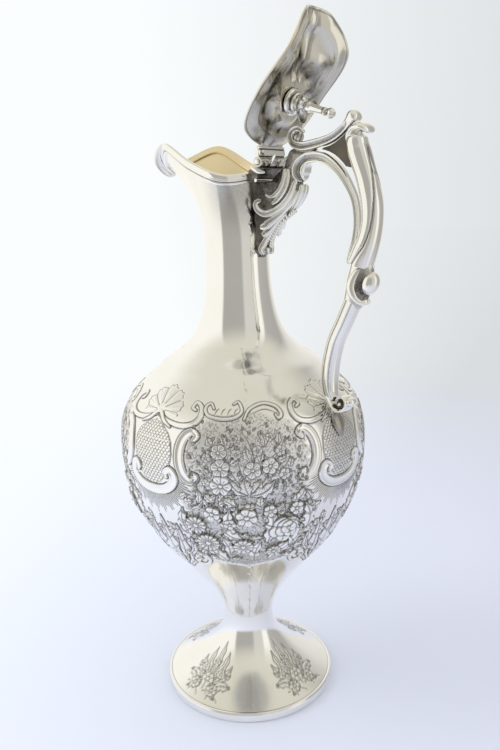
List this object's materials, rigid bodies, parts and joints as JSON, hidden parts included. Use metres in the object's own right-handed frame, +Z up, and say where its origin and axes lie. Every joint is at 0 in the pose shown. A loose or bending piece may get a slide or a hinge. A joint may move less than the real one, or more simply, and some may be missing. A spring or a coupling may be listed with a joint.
{
  "type": "lidded pitcher",
  "caption": "Tall footed silver pitcher with a chased oval body, a narrow neck, a waved pouring lip, a hinged leaf-shaped lid with a flower finial and a cast scroll handle.",
  "frame": {"origin": "on the vessel's axis at the level of the table under the foot", "axes": "+X towards the handle, -X towards the spout, +Z up"},
  "size_m": [0.1567, 0.1364, 0.3649],
  "materials": {
    "sheet_silver": "polished silver sheet, gilt inside the mouth and lid",
    "cast_silver": "polished cast silver with darkened recesses",
    "fittings": "polished silver fittings"
  },
  "bodies": {
    "vessel": {"foot": "sheet_silver", "foot_rim": "sheet_silver", "bowl": "sheet_silver", "neck": "sheet_silver", "rim_moulding": "sheet_silver", "hinge_base": "fittings", "hinge_pin": "fittings", "handle_bracket": "cast_silver", "bracket_beading": "cast_silver", "handle_top_arm": "cast_silver", "handle_inner_scroll": "cast_silver", "handle_web": "cast_silver", "handle_grip": "cast_silver", "handle_boss": "cast_silver", "boss_bead": "cast_silver", "handle_lower_arm": "cast_silver", "terminal_scroll": "cast_silver", "terminal_leaf": "cast_silver"},
    "lid_group": {"lid": "sheet_silver", "lid_hinge_leaf": "fittings", "finial_collar": "cast_silver", "finial_calyx": "cast_silver", "finial_stem": "cast_silver", "finial_nut": "fittings"}
  },
  "joints": [
    {"name": "lid_hinge", "type": "hinge", "parent": "vessel", "child": "lid_group", "pos_m": [0.0243, 0, 0.2978], "axis": [0, 1, 0], "range_deg": [-108.5, 0]}
  ]
}
